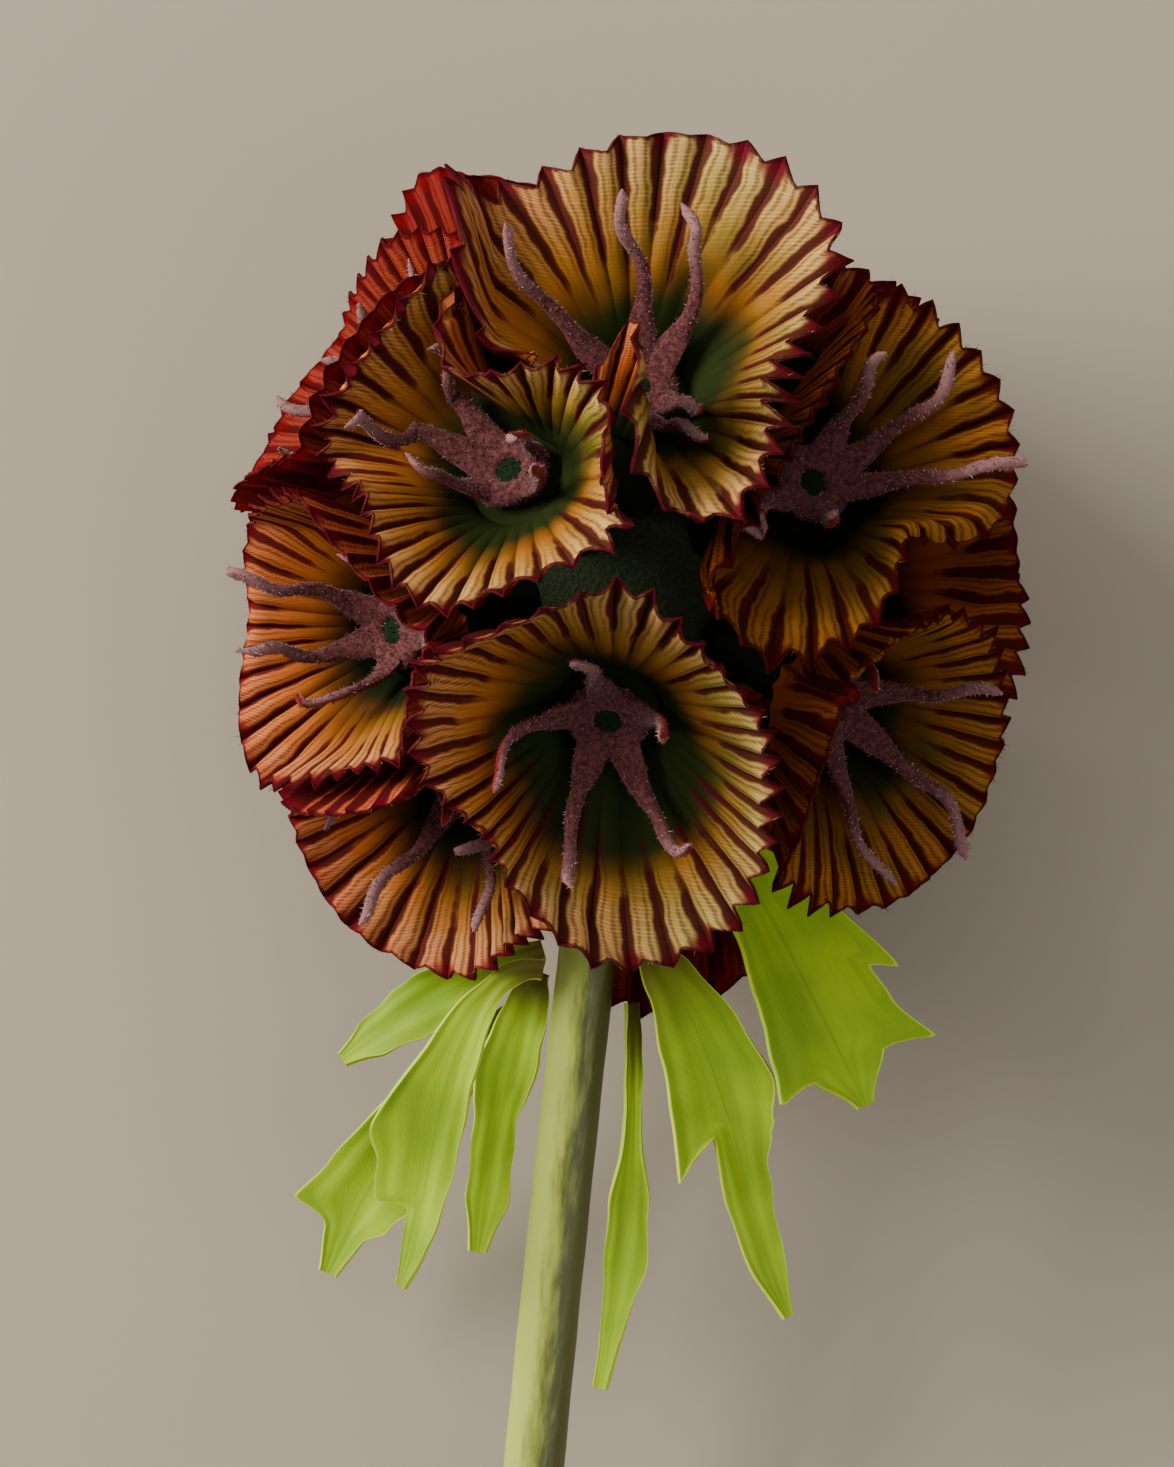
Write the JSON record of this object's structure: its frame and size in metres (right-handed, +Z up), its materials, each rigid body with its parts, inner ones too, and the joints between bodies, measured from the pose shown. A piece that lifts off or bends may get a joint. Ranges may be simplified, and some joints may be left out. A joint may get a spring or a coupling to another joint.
{
  "type": "scabiosa seed pod",
  "caption": "Starflower scabiosa seed head of dyed, pleated cloth cups with a flocked star in each, on a cut stem with lobed leaves, lying down",
  "frame": {"origin": "middle of the bounding box in plan, at the height of the surface that the stem and the head lie on", "axes": "+Z up from the surface, +Y along the length with the head at +Y and the cut end of the stem at -Y, +X to the right with +Z towards the viewer"},
  "size_m": [0.0558, 0.1526, 0.0527],
  "materials": {
    "cloth_olive": "woven ribbon cloth, olive yellow with dark maroon pleats and a green throat",
    "cloth_rust": "woven ribbon cloth, rust orange with dark maroon pleats",
    "cloth_brown": "woven ribbon cloth, olive brown with dark maroon pleats",
    "cloth_red": "woven ribbon cloth, brick red with dark maroon pleats",
    "flock_mauve": "short matt flock, dusty mauve to dark red",
    "leaf_green": "smooth printed cloth, bright yellow green, faint veins",
    "ball_green": "matt dark green foam",
    "stem_green": "satin plastic over wire, pale green to dark olive, brownish towards the cut"
  },
  "bodies": {
    "root": {"ball": "ball_green", "bottom_back_cup": "cloth_red", "bottom_back_star": "flock_mauve", "broad_right_leaf": "leaf_green", "far_left_leaf": "leaf_green", "left_back_cup": "cloth_rust", "left_back_star": "flock_mauve", "left_cup": "cloth_rust", "left_star": "flock_mauve", "long_right_leaf": "leaf_green", "lower_left_back_cup": "cloth_rust", "lower_left_back_star": "flock_mauve", "lower_left_cup": "cloth_rust", "lower_left_star": "flock_mauve", "lower_middle_cup": "cloth_olive", "lower_middle_star": "flock_mauve", "lower_right_cup": "cloth_brown", "lower_right_star": "flock_mauve", "narrow_right_leaf": "leaf_green", "olive_left_leaf": "leaf_green", "pale_left_leaf": "leaf_green", "right_back_cup": "cloth_brown", "right_back_star": "flock_mauve", "right_cup": "cloth_brown", "right_low_cup": "cloth_brown", "right_low_star": "flock_mauve", "right_star": "flock_mauve", "stem": "stem_green", "top_back_cup": "cloth_red", "top_back_star": "flock_mauve", "top_cup": "cloth_olive", "top_low_cup": "cloth_rust", "top_low_star": "flock_mauve", "top_star": "flock_mauve", "twisted_left_leaf": "leaf_green", "underside_cup": "cloth_rust", "underside_star": "flock_mauve", "upper_left_back_cup": "cloth_red", "upper_left_back_star": "flock_mauve", "upper_left_cup": "cloth_olive", "upper_left_star": "flock_mauve"}
  },
  "joints": []
}
